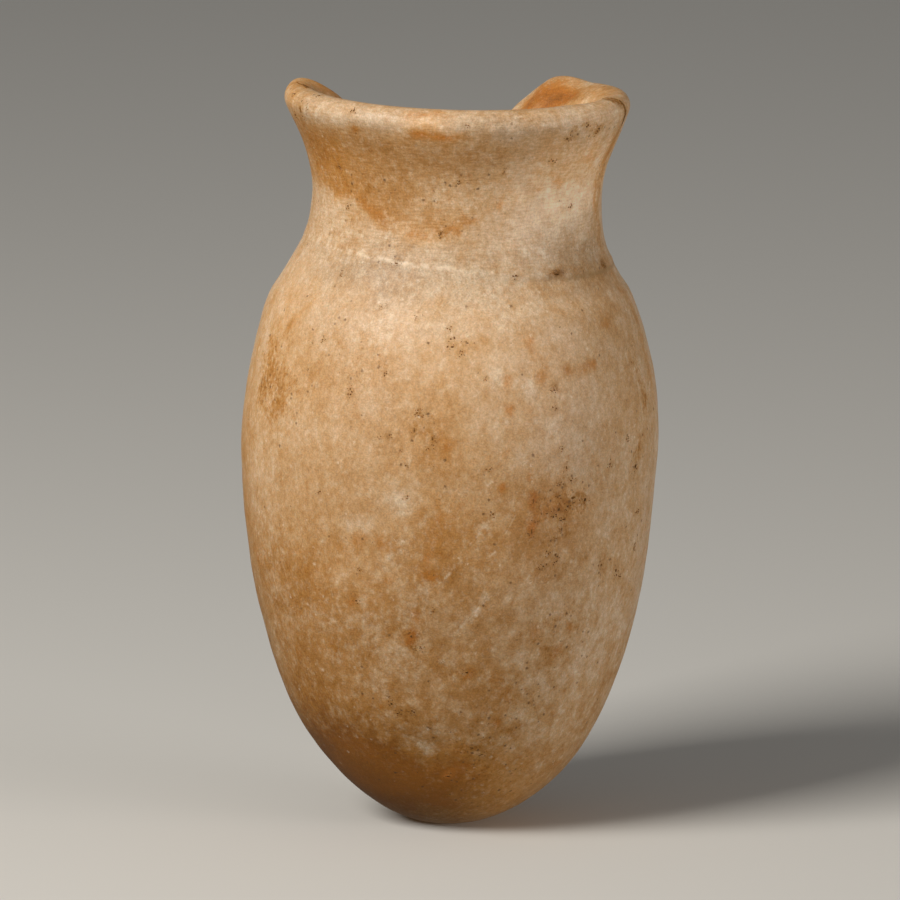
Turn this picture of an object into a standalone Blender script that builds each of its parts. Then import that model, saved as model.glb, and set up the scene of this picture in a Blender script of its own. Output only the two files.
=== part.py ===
"""A miniature alabaster jar, carved from one piece of stone: an egg-shaped body on a small
worn foot, a flared neck with a rounded lip, and a rim that is broken away at the back.

Sizes are in metres. The origin is the middle of the foot, +Z is up and -Y is the jar's front.
Angles round the rim are in degrees, seen from above: 0 is the right side and 90 is the back.
"""

import math

import bmesh
import bpy
from mathutils import Vector
from mathutils.geometry import interpolate_bezier

# Heights, stacked one on another from the foot to the top of the rim.
FOOT_TO_BELLY = 0.0395
BELLY_TO_SHOULDER = 0.0141
SHOULDER_TO_LEDGE = 0.0049
LEDGE_TO_WAIST = 0.0050
WAIST_TO_RIM = 0.0115

# Radii of the outside.
FOOT_RADIUS = 0.0038
BELLY_RADIUS = 0.0209
WAIST_RADIUS = 0.01455
LEDGE_SPREAD = 0.0008
LIP_OVERHANG = 0.0028
LIP_ROLL_RADIUS = 0.00175

# How the outside bends between those levels.
LOWER_BODY_POWER = 2.15
UPPER_BODY_REACH = 0.0284
LIP_SLOPE = math.radians(26)

# The stone between the outside and the drilled hollow.
NECK_WALL = 0.0032
BELLY_WALL = 0.0040
FLOOR_THICKNESS = 0.0060
THROAT_BELOW_LEDGE = 0.0010

# Unevenness left by the hand that carved it.
NECK_OFFSET = 0.00045
NECK_TILT = math.radians(1.5)
BODY_BOW = 0.00022

# The break: how far below the rim's top the stone is gone at each angle.
BREAK_DEPTH = (
    (-26, -0.0004),
    (-14, 0.0006),
    (4, 0.0010),
    (28, 0.0011),
    (43, 0.0013),
    (51, 0.0012),
    (57, 0.0019),
    (63, 0.0034),
    (68, 0.0052),
    (76, 0.0062),
    (92, 0.0068),
    (114, 0.0065),
    (130, 0.0054),
    (139, 0.0038),
    (145, 0.0020),
    (153, 0.0013),
    (166, 0.0008),
    (180, -0.0004),
)
BREAK_TILT = 0.0006
CUTTER_MARGIN = 0.0030

# Fineness of the solid: sides round the jar, and points along each stretch of its profile.
SIDES = 64
LOWER_BODY_POINTS = 12
UPPER_BODY_POINTS = 6
NECK_FOOT_POINTS = 3
FLARE_POINTS = 6
ROLL_POINTS = 7
HOLLOW_POINTS = 8
BREAK_STEPS = 60
AXIS_MERGE = 0.00001
SHARP_EDGE = math.radians(40)

# Levels and radii that follow from the sizes above.
BELLY_LEVEL = FOOT_TO_BELLY
SHOULDER_LEVEL = BELLY_LEVEL + BELLY_TO_SHOULDER
LEDGE_LEVEL = SHOULDER_LEVEL + SHOULDER_TO_LEDGE
WAIST_LEVEL = LEDGE_LEVEL + LEDGE_TO_WAIST
RIM_LEVEL = WAIST_LEVEL + WAIST_TO_RIM
LEDGE_RADIUS = WAIST_RADIUS + LEDGE_SPREAD
LIP_RADIUS = WAIST_RADIUS + LIP_OVERHANG
THROAT_RADIUS = WAIST_RADIUS - NECK_WALL
HOLLOW_RADIUS = BELLY_RADIUS - BELLY_WALL
THROAT_LEVEL = LEDGE_LEVEL - THROAT_BELOW_LEDGE

STONE_COLOUR = (0.62, 0.43, 0.24, 1.0)
STONE_ROUGHNESS = 0.42


def soft_step(value, low, high):
    """0 at low and 1 at high, with no corner at either end."""
    share = min(1.0, max(0.0, (value - low) / (high - low)))
    return share * share * (3 - 2 * share)


def soft_bump(value, middle, reach):
    """1 at middle, falling smoothly to 0 at reach on both sides."""
    share = min(1.0, abs(value - middle) / reach)
    return (1 - share * share) ** 2


def along(stations, angle):
    """The value at an angle, eased between the two stations on either side of it."""
    for (before, low), (after, high) in zip(stations, stations[1:]):
        if angle <= after:
            return low + (high - low) * soft_step(angle, before, after)
    return stations[-1][1]


def bend(start, start_way, end, end_way, points):
    """Points of a smooth curve from start to end, leaving and arriving in the given directions."""
    handle = (end - start).length * 0.36
    leaving = start + start_way.normalized() * handle
    arriving = end - end_way.normalized() * handle
    return [point.to_2d() for point in interpolate_bezier(start, leaving, arriving, end, points)]


def lower_body():
    """The egg-shaped lower half, from the belly down to the edge of the foot."""
    power = LOWER_BODY_POWER
    depth = BELLY_LEVEL / (1 - (FOOT_RADIUS / BELLY_RADIUS) ** power) ** (1 / power)
    foot_turn = math.asin(BELLY_LEVEL / depth)
    points = []
    for step in range(1, LOWER_BODY_POINTS + 1):
        drop = depth * math.sin(foot_turn * step / LOWER_BODY_POINTS)
        radius = BELLY_RADIUS * (1 - (drop / depth) ** power) ** (1 / power)
        points.append(Vector((radius, BELLY_LEVEL - drop)))
    return points


def upper_body():
    """The rounded upper half, from the shoulder down to the belly."""
    points = []
    for step in range(UPPER_BODY_POINTS, -1, -1):
        rise = BELLY_TO_SHOULDER * step / UPPER_BODY_POINTS
        radius = BELLY_RADIUS * math.sqrt(1 - (rise / UPPER_BODY_REACH) ** 2)
        points.append(Vector((radius, BELLY_LEVEL + rise)))
    return points


def lip_roll():
    """The rounded lip, from its inner side over the top to its outer side."""
    middle = Vector((LIP_RADIUS - LIP_ROLL_RADIUS, RIM_LEVEL - LIP_ROLL_RADIUS))
    points = []
    for step in range(ROLL_POINTS + 1):
        turn = math.pi * (1 - step / ROLL_POINTS) - LIP_SLOPE
        outward = Vector((math.cos(turn), math.sin(turn)))
        points.append(middle + outward * LIP_ROLL_RADIUS)
    return points


def neck_outside(lip_edge):
    """The outside of the neck, from under the lip down to the ledge on the shoulder."""
    down = Vector((0, -1))
    under_lip = Vector((-math.sin(LIP_SLOPE), -math.cos(LIP_SLOPE)))
    waist = Vector((WAIST_RADIUS, WAIST_LEVEL))
    flare = bend(lip_edge, under_lip, waist, down, FLARE_POINTS)
    foot = []
    for step in range(1, NECK_FOOT_POINTS + 1):
        share = step / NECK_FOOT_POINTS
        radius = WAIST_RADIUS + LEDGE_SPREAD * share * share
        foot.append(Vector((radius, WAIST_LEVEL - LEDGE_TO_WAIST * share)))
    return flare[1:] + foot


def hollow(lip_edge):
    """The drilled inside, from the middle of its floor up to the inner side of the lip."""
    up = Vector((0, 1))
    floor_middle = Vector((0, FLOOR_THICKNESS))
    widest = Vector((HOLLOW_RADIUS, BELLY_LEVEL))
    points = [floor_middle]
    for step in range(1, HOLLOW_POINTS + 1):
        turn = math.pi / 2 * step / HOLLOW_POINTS
        rise = (BELLY_LEVEL - FLOOR_THICKNESS) * (1 - math.cos(turn))
        points.append(Vector((HOLLOW_RADIUS * math.sin(turn), FLOOR_THICKNESS + rise)))
    throat_foot = Vector((THROAT_RADIUS, THROAT_LEVEL))
    throat_head = Vector((THROAT_RADIUS, WAIST_LEVEL))
    over_shoulder = Vector((-0.8, 1))
    points += bend(widest, up, throat_foot, over_shoulder, HOLLOW_POINTS)[1:]
    into_lip = Vector((math.sin(LIP_SLOPE), math.cos(LIP_SLOPE)))
    points += bend(throat_head, up, lip_edge, into_lip, FLARE_POINTS)
    return points


def jar_profile():
    """The closed outline that is turned: up the inside, over the lip and down the outside."""
    roll = lip_roll()
    outline = hollow(roll[0])[:-1] + roll + neck_outside(roll[-1])
    outline += upper_body() + lower_body()
    outline.append(Vector((0, 0)))
    return outline


def collection(name):
    """A collection of that name in the scene."""
    made = bpy.data.collections.new(name)
    bpy.context.scene.collection.children.link(made)
    return made


def turned(name, outline, home):
    """The mesh made by turning an outline a full turn about the Z axis."""
    wire = bpy.data.meshes.new(name + "_outline")
    corners = [(point.x, 0, point.y) for point in outline]
    wire.from_pydata(corners, [(i, i + 1) for i in range(len(corners) - 1)], [])
    lathe = bpy.data.objects.new(name + "_outline", wire)
    home.objects.link(lathe)
    screw = lathe.modifiers.new("turn", "SCREW")
    screw.axis = "Z"
    screw.angle = math.tau
    screw.steps = SIDES
    screw.render_steps = SIDES
    screw.use_merge_vertices = True
    screw.merge_threshold = AXIS_MERGE
    bpy.context.view_layer.update()
    graph = bpy.context.evaluated_depsgraph_get()
    mesh = bpy.data.meshes.new_from_object(lathe.evaluated_get(graph))
    mesh.name = name
    bpy.data.objects.remove(lathe)
    return mesh


def hand_shaped(place):
    """Where hand work has put a point of the turned shape: the neck stands to the right of the
    body's middle and leans further that way, and the lower body bows a little to the left."""
    share = soft_step(place.z, SHOULDER_LEVEL, LEDGE_LEVEL)
    tilt = NECK_TILT * share
    height = place.z - LEDGE_LEVEL
    along_neck = height * math.cos(tilt) - place.x * math.sin(tilt)
    across_neck = place.x * math.cos(tilt) + height * math.sin(tilt)
    bow = BODY_BOW * soft_bump(place.z, BELLY_LEVEL * 0.6, BELLY_LEVEL * 0.6)
    return Vector((across_neck + NECK_OFFSET * share - bow, place.y, LEDGE_LEVEL + along_neck))


def missing_rim(home):
    """What has broken off the back of the rim, as a curved block that is cut away."""
    first = BREAK_DEPTH[0][0]
    last = BREAK_DEPTH[-1][0]
    inner = THROAT_RADIUS - CUTTER_MARGIN
    outer = LIP_RADIUS + CUTTER_MARGIN
    block = bmesh.new()
    bmesh.ops.create_grid(block, x_segments=BREAK_STEPS, y_segments=1, size=0.5)
    floor = list(block.verts)
    raised = bmesh.ops.extrude_face_region(block, geom=block.faces[:])["geom"]
    top = [item for item in raised if isinstance(item, bmesh.types.BMVert)]
    for vertex in floor + top:
        angle = first + (last - first) * (vertex.co.x + 0.5)
        across = 0.5 - vertex.co.y
        radius = inner + (outer - inner) * across
        depth = along(BREAK_DEPTH, angle) - BREAK_TILT * (across - 0.5)
        level = RIM_LEVEL + CUTTER_MARGIN if vertex in top else RIM_LEVEL - depth
        turn = math.radians(angle)
        vertex.co = hand_shaped(Vector((radius * math.cos(turn), radius * math.sin(turn), level)))
    mesh = bpy.data.meshes.new("missing_rim")
    block.to_mesh(mesh)
    block.free()
    cutter = bpy.data.objects.new("missing_rim", mesh)
    cutter.hide_render = True
    cutter.display_type = "WIRE"
    home.objects.link(cutter)
    return cutter


def alabaster():
    """Warm, creamy brown calcite with a soft polish."""
    stone = bpy.data.materials.new("alabaster")
    stone.use_nodes = True
    shader = stone.node_tree.nodes["Principled BSDF"]
    shader.inputs["Base Color"].default_value = STONE_COLOUR
    shader.inputs["Roughness"].default_value = STONE_ROUGHNESS
    shader.inputs["Metallic"].default_value = 0.0
    stone.diffuse_color = STONE_COLOUR
    return stone


def build_jar():
    """The jar as one solid: turned, shaped by hand, and broken at the rim."""
    parts = collection("miniature_alabaster_jar")
    cutters = collection("cutters")
    mesh = turned("jar", jar_profile(), parts)
    for vertex in mesh.vertices:
        vertex.co = hand_shaped(vertex.co)
    mesh.shade_smooth()
    mesh.set_sharp_from_angle(angle=SHARP_EDGE)
    mesh.materials.append(alabaster())
    jar = bpy.data.objects.new("jar", mesh)
    parts.objects.link(jar)
    broken = jar.modifiers.new("broken rim", "BOOLEAN")
    broken.operation = "DIFFERENCE"
    broken.object = missing_rim(cutters)
    return jar


for leftover in list(bpy.data.objects):
    bpy.data.objects.remove(leftover)
build_jar()
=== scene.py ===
import math
import random

import bmesh
import bpy
import numpy as np
from mathutils import Matrix, Vector, noise


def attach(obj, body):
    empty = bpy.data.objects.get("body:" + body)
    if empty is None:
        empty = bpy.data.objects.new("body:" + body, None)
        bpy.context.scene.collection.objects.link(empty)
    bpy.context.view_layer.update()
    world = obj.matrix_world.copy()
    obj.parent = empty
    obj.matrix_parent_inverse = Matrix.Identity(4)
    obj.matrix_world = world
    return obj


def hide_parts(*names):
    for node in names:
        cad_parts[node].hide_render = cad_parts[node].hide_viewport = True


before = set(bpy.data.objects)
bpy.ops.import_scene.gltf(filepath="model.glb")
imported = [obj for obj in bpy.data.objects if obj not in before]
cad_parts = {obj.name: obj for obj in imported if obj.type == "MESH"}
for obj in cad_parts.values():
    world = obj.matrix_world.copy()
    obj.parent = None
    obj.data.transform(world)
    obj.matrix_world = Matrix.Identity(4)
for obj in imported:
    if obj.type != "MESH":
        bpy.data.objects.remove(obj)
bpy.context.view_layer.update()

# The jar
# One piece of calcite alabaster: an egg-shaped body, a ledge, a flared neck and a rounded lip.
# It was ground to shape by hand and drilled hollow. The back of its rim has broken away since.
# Heights and radii are in millimetres; angles are in degrees from above, 0 right and 90 back.

MM = 0.001
OUTSIDE = (  # height above the foot, radius
    (0, 3.65), (0.5, 5.01), (1.2, 6.53), (2.4, 8.37), (4, 10.29), (6, 12.14), (8.5, 13.95), (12, 15.89),
    (16, 17.42), (21, 18.85), (26, 19.88), (31, 20.51), (36, 20.87), (40, 20.98), (44, 20.67),
    (47.5, 20.06), (50.5, 19.34), (52.5, 18.71), (54, 18.1), (55.5, 17.12), (57, 16.27), (58.2, 15.65),
    (59.2, 15.21), (60.5, 14.86), (62, 14.65), (64, 14.58), (66, 14.76), (68, 15.24), (70, 16.02),
    (71.5, 16.7), (72.6, 17.18), (73.3, 17.45),
)
CENTRE_LINE = (  # height, how far the middle stands to the right
    (0, -0.06), (6, 0.05), (12, -0.14), (20, -0.17), (28, -0.17), (36, -0.1), (44, 0.12), (50, 0.12),
    (55, 0.09), (58, 0.35), (61, 0.55), (64, 0.7), (67, 0.75), (70, 0.87), (73.3, 0.78), (76, 0.84),
)
RIM_TOP = 75.0
LIP_HEIGHT = OUTSIDE[-1][0]
LIP_ROUNDING = RIM_TOP - LIP_HEIGHT
THROAT_RADIUS = 11.35
THROAT_FOOT = 57.5
MOUTH = (  # height, radius of the funnel inside the lip
    (62, 11.35), (64, 11.37), (66.5, 11.48), (68.5, 11.7), (70.2, 12.05), (71.6, 12.55), (72.7, 13.15),
    (73.6, 13.85), (74.3, 14.5),
)
KNOB = (  # height, how far the lip's inner side swells inward at the knob left of the break
    (66, 0), (69, 0.35), (71.6, 1), (73, 1.3), (74.3, 0.7),
)
KNOB_ANGLE, KNOB_SPREAD = 168, 20
HOLLOW_RADIUS = 16.9
HOLLOW_WIDEST = 39.5
HOLLOW_FLOOR = 6.0
NECK_TILT = math.radians(1.5)
LEDGE_HEIGHT = 58.6
TILT_START, TILT_FULL = 53.6, 58.5

MERIDIANS = 320
BODY_ROWS = 146
RIM_ROWS = 104
HOLLOW_ROWS = 36
RIM_START = 62.0
RIM_END_INSIDE = 60.0

BREAK_DEPTH = (  # angle, how far below the rim's top the outer edge of the stone is gone
    (-64, -0.4), (-46, 0.15), (-26, 0.3), (-10, 0.36), (4, 0.48), (22, 0.6), (32, 0.78), (38, 0.86),
    (43, 0.66), (49, 0.56), (55, 1), (60, 1.95), (64.5, 3.1), (68, 4), (72, 5.3), (81, 6.4), (96, 6.8),
    (114, 6.6), (130, 5.9), (138, 4.4), (145, 2.55), (153, 1.35), (166, 0.25), (180, -0.5),
)
BREAK_FALL = (  # angle, how much lower the break is at the inner edge than at the outer
    (-46, 0), (-26, 0.3), (-14, 0.6), (20, 1.2), (45, 1.9), (90, 1.9), (130, 1.9), (150, 1.6),
    (172, 0.9), (184, 0),
)
BREAK_SWELL = 0.5
NICK_DEPTH, NICK_CROWDING = 0.12, 6
RIPPLE_DEPTH, RIPPLES_ROUND, RIPPLES_ACROSS = 0.14, 1.6, 2.2
LIP_WALL = 3.6
LIP_TURN = 115
WORN_EDGE_PASSES = 16
FLARE_START = 66
NECK_STEPS, LIP_STEPS, FACE_STEPS, RIM_STEPS = 80, 40, 30, 240  # how finely each curve is followed
FOOT_STEPS, BODY_STEPS, QUARTER_STEPS = 60, 400, 120

UNEVENNESS = ((11, 0.10), (4.5, 0.06), (1.7, 0.03))  # width of a swell, its height
RIDGE_LINE, GROOVE_LINE = (0.15, 0.40), (-0.70, 0.45)  # middle above the ledge's edge, half height
RIDGE_HEIGHT, GROOVE_DEPTH = 0.13, 0.20
OUTER_EDGE = (74.5, 76.5)  # the reach over which the outside ends


def soft_step(value, low, high):
    """0 at low, 1 at high, eased at both ends; takes numbers and arrays."""
    share = np.clip((value - low) / (high - low), 0, 1)
    return share * share * (3 - 2 * share)


def smooth_line(stations, at):
    """The value at each place along a smooth curve through the stations."""
    places, values = (np.array(column, float) for column in zip(*stations))
    gap = np.diff(places)
    slope = np.diff(values) / gap
    bend = np.empty_like(values)
    bend[0], bend[-1] = slope[0], slope[-1]
    bend[1:-1] = (slope[:-1] * gap[1:] + slope[1:] * gap[:-1]) / (gap[1:] + gap[:-1])
    at = np.clip(at, places[0], places[-1])
    k = np.clip(np.searchsorted(places, at) - 1, 0, len(gap) - 1)
    t = (at - places[k]) / gap[k]
    start = values[k] * (1 + 2 * t) + gap[k] * bend[k] * t
    end = values[k + 1] * (3 - 2 * t) - gap[k] * bend[k + 1] * (1 - t)
    return start * (1 - t) ** 2 + end * t * t


def spaced(line, count):
    """count points evenly spaced along a line of (radius, height) points."""
    steps = np.hypot(*np.diff(line, axis=0).T)
    run = np.concatenate([[0], np.cumsum(steps)])
    at = np.linspace(0, run[-1], count)
    return np.column_stack([np.interp(at, run, line[:, 0]), np.interp(at, run, line[:, 1])])


def rim_section(angle):
    """The neck and lip in section: up the outside, over the lip and down to the throat."""
    heights = np.linspace(RIM_START, LIP_HEIGHT, NECK_STEPS)
    outer = np.column_stack([smooth_line(OUTSIDE, heights), heights])
    middle = np.array([OUTSIDE[-1][1] - LIP_ROUNDING, LIP_HEIGHT])
    turn = np.radians(np.linspace(0, LIP_TURN, LIP_STEPS))[1:]
    lip = middle + LIP_ROUNDING * np.column_stack([np.cos(turn), np.sin(turn)])
    heights = np.linspace(MOUTH[-1][0], MOUTH[0][0], NECK_STEPS)
    knob = math.exp(-(((angle - KNOB_ANGLE) / KNOB_SPREAD) ** 2))
    inner = np.column_stack([smooth_line(MOUTH, heights) - knob * smooth_line(KNOB, heights), heights])
    throat = np.array([[THROAT_RADIUS, RIM_END_INSIDE]])
    return np.concatenate([outer, lip, inner, throat])


def broken(section, angle):
    """The section at an angle with its top broken off: the face falls inward and is worn round."""
    turn = math.radians(angle)
    place = Vector((math.cos(turn), math.sin(turn), 0)) * NICK_CROWDING
    depth = smooth_line(BREAK_DEPTH, np.array([angle]))[0]
    depth += NICK_DEPTH * noise.noise(place) * soft_step(depth, 0.4, 2.0)
    top = RIM_TOP - depth
    outer_edge = smooth_line(OUTSIDE, np.array([top]))[0]
    fall = smooth_line(BREAK_FALL, np.array([angle]))[0]
    level = top + fall * (section[:, 0] - outer_edge) / LIP_WALL
    above = np.flatnonzero(section[:, 1] > level)
    if not len(above):
        return section
    first, last = above[0], above[-1]
    crossing = []
    for under, over in ((first - 1, first), (last + 1, last)):
        low, high = level[under] - section[under, 1], section[over, 1] - level[over]
        crossing.append(section[under] + (section[over] - section[under]) * low / (low + high))
    share = np.linspace(0, 1, FACE_STEPS)[:, None]
    face = crossing[0] + (crossing[1] - crossing[0]) * share
    wide = np.hypot(*(crossing[1] - crossing[0]))
    out = np.array([crossing[0][1] - crossing[1][1], crossing[0][0] - crossing[1][0]]) / wide
    face += out * (BREAK_SWELL * min(wide / LIP_WALL, 1) * 4 * share * (1 - share))
    steps = [Vector((0, 0, RIPPLES_ACROSS * part)) for part in share.ravel()]
    ripple = [noise.noise(place * RIPPLES_ROUND + step) for step in steps]
    face += out * (RIPPLE_DEPTH * np.array(ripple)[:, None] * np.sqrt(share * (1 - share)))
    return np.concatenate([section[:first], face, section[last + 1:]])


def worn(line):
    """The line with its corners rubbed round, its ends kept."""
    line = line.copy()
    for _ in range(WORN_EDGE_PASSES):
        line[1:-1] = (line[:-2] + 2 * line[1:-1] + line[2:]) / 4
    return line


def mesh_from(built, name):
    """A new mesh of what has been built."""
    made = bpy.data.meshes.new(name)
    built.to_mesh(made)
    built.free()
    return made


def read(items, name, kind=int, width=1):
    """What each of a mesh's items has under a name, as an array."""
    values = np.empty(len(items) * width, kind)
    items.foreach_get(name, values)
    return values


def rank(face):
    """Where a face of the blank comes: ring by ring, and in each ring by angle."""
    middle = face.calc_center_median()
    share = math.atan2(middle.y, middle.x) / math.tau % 1
    return math.floor(middle.z) * MERIDIANS + math.floor(share * MERIDIANS)


near_foot, up_body = np.linspace(0, 3, FOOT_STEPS), np.linspace(3, RIM_START, BODY_STEPS)
body_heights = np.concatenate([near_foot, up_body[1:]])
body_line = np.column_stack([smooth_line(OUTSIDE, body_heights), body_heights])
body_line = spaced(np.concatenate([[[0, 0]], body_line]), BODY_ROWS)

quarter = np.linspace(0, math.pi / 2, QUARTER_STEPS)
upper = np.column_stack([
    THROAT_RADIUS + (HOLLOW_RADIUS - THROAT_RADIUS) * np.sin(quarter),
    HOLLOW_WIDEST + (THROAT_FOOT - HOLLOW_WIDEST) * np.cos(quarter),
])
lower = np.column_stack([
    HOLLOW_RADIUS * np.cos(quarter),
    HOLLOW_WIDEST - (HOLLOW_WIDEST - HOLLOW_FLOOR) * np.sin(quarter),
])
throat_start = np.array([[THROAT_RADIUS, RIM_END_INSIDE]])
hollow_line = spaced(np.concatenate([throat_start, upper, lower[1:]]), HOLLOW_ROWS)

angles = np.linspace(0, 360, MERIDIANS, endpoint=False)
angles[angles > 240] -= 360  # the break's lists run on past 180 degrees
sections, reaches = [], []
for at in angles:
    rim = broken(rim_section(at), at)
    top = spaced(worn(spaced(rim, RIM_STEPS)), RIM_ROWS)
    section = np.concatenate([body_line, top[1:], hollow_line[1:]])
    # The reach is the height up the outside, and then the way on over the lip and down inside.
    way = np.concatenate([[0], np.cumsum(np.hypot(*np.diff(section, axis=0).T))])
    crest = int(np.argmax(section[:, 0] * (section[:, 1] > FLARE_START)))
    edge = min(crest, int(np.argmax(section[:, 1] > min(LIP_HEIGHT, section[:, 1].max() - 0.05))))
    beyond = np.arange(len(section)) > edge
    sections.append(section)
    reaches.append(np.where(beyond, section[edge, 1] + way - way[edge], section[:, 1]))
sections, reaches = np.array(sections), np.array(reaches)
ROWS = sections.shape[1]

# A lathe blank: a plain tube with one ring for each row, closed at both poles.
form = bmesh.new()
chain = [form.verts.new((0.0 if row in (0, ROWS - 1) else 1.0, 0, row)) for row in range(ROWS)]
strands = [form.edges.new(pair) for pair in zip(chain, chain[1:])]
bmesh.ops.spin(
    form, geom=chain + strands, cent=(0, 0, 0), axis=(0, 0, 1),
    angle=math.tau, steps=MERIDIANS, use_merge=True,
)
bmesh.ops.remove_doubles(form, verts=form.verts[:], dist=0.001)
form.faces.sort(key=rank)  # because the spin leaves them in another order each run
skin_mesh = mesh_from(form, "jar_skin")

# Each point of the blank goes to its row of the section at its angle.
count = len(skin_mesh.vertices)
blank = read(skin_mesh.vertices, "co", float, 3).reshape(-1, 3)
angle = np.degrees(np.arctan2(blank[:, 1], blank[:, 0])) % 360
row = np.rint(blank[:, 2]).astype(int)
meridian = np.rint(angle / 360 * MERIDIANS).astype(int) % MERIDIANS
radius, height = sections[meridian, row].T
reach = reaches[meridian, row]
turn = np.radians(angle)
place = np.column_stack([radius * np.cos(turn), radius * np.sin(turn), height])

# Hand work and wear: slow unevenness, and the ledge's ridge and groove.
outward = np.column_stack([np.cos(turn), np.sin(turn), np.zeros(count)])
on_outside = 1 - soft_step(reach, *OUTER_EDGE)


def noise_at(points, scale, seed):
    """Smooth noise, about -1 to 1, with features of the given size in millimetres."""
    shift = Vector((seed * 17.3, seed * 5.1, seed * 9.7))
    return np.array([noise.noise(Vector(point) / scale + shift) for point in points])


swell = sum(high * noise_at(place, wide, seed) for seed, (wide, high) in enumerate(UNEVENNESS, 1))
place += outward * swell[:, None]

# The ledge's edge runs 1 mm lower on the right and 1 mm higher on the left.
from_ledge = height - (LEDGE_HEIGHT - np.cos(turn))


def by_ledge(middle, half_height):
    """1 on a line along the ledge's edge, fading above and below it."""
    return np.exp(-(((from_ledge - middle) / half_height) ** 2))


patchy = 0.5 + 0.5 * noise_at(place * (1, 1, 0), 5.0, 4)
ridge = by_ledge(*RIDGE_LINE) * (0.30 + 0.70 * patchy)
groove = by_ledge(*GROOVE_LINE) * (0.45 + 0.55 * patchy)
groove_share = soft_step(np.cos(turn), -0.35, 0.55)
groove_share *= 1 - 0.8 * soft_step(np.sin(turn), -0.35, 0.0)
cut = RIDGE_HEIGHT * ridge * (1 - 0.7 * groove_share) - GROOVE_DEPTH * groove * groove_share
place += outward * (on_outside * cut)[:, None]

# The centre line wanders, and the neck leans to the right above the shoulder.
tilt = NECK_TILT * soft_step(place[:, 2], TILT_START, TILT_FULL)
rise = place[:, 2] - TILT_FULL
across = place[:, 0] * np.cos(tilt)
up = rise * np.cos(tilt) - place[:, 0] * np.sin(tilt)
place[:, 0] = across + smooth_line(CENTRE_LINE, height)
place[:, 2] = TILT_FULL + up
place[height < 0.01, 2] = 0  # the flat of the foot

skin_mesh.vertices.foreach_set("co", (place * MM).ravel())
skin_mesh.update()
form = bmesh.new()
form.from_mesh(skin_mesh)
bmesh.ops.recalc_face_normals(form, faces=form.faces[:])
form.to_mesh(skin_mesh)
form.free()
skin_mesh.shade_smooth()

# The skin unrolled: angle round the jar across, reach up the outside and over the lip upward.
# A face that crosses the seam ends past 360 degrees, and a pole's corner takes its face's middle.
REACH_SPAN = 170.0
corner_vertex = read(skin_mesh.loops, "vertex_index")
face_start, face_size = (read(skin_mesh.polygons, name) for name in ("loop_start", "loop_total"))
face_of_corner = np.repeat(np.arange(len(face_start)), face_size)
corner_angle = angle[corner_vertex]
at_pole = (row[corner_vertex] == 0) | (row[corner_vertex] == ROWS - 1)
face_low = np.full(len(face_start), 360.0)
face_high = np.zeros(len(face_start))
np.minimum.at(face_low, face_of_corner[~at_pole], corner_angle[~at_pole])
np.maximum.at(face_high, face_of_corner[~at_pole], corner_angle[~at_pole])
over_seam = (face_high - face_low > 180)[face_of_corner]
corner_angle = np.where(over_seam & (corner_angle < 180), corner_angle + 360, corner_angle)
pole_angle = np.where(over_seam, 360.0, (face_low + face_high)[face_of_corner] / 2)
corner_angle = np.where(at_pole, pole_angle, corner_angle)
unrolled = skin_mesh.uv_layers.new(name="unrolled")
layout = np.column_stack([corner_angle / 360, reach[corner_vertex] / REACH_SPAN])
unrolled.uv.foreach_set("vector", layout.astype(np.float32).ravel())

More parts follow.
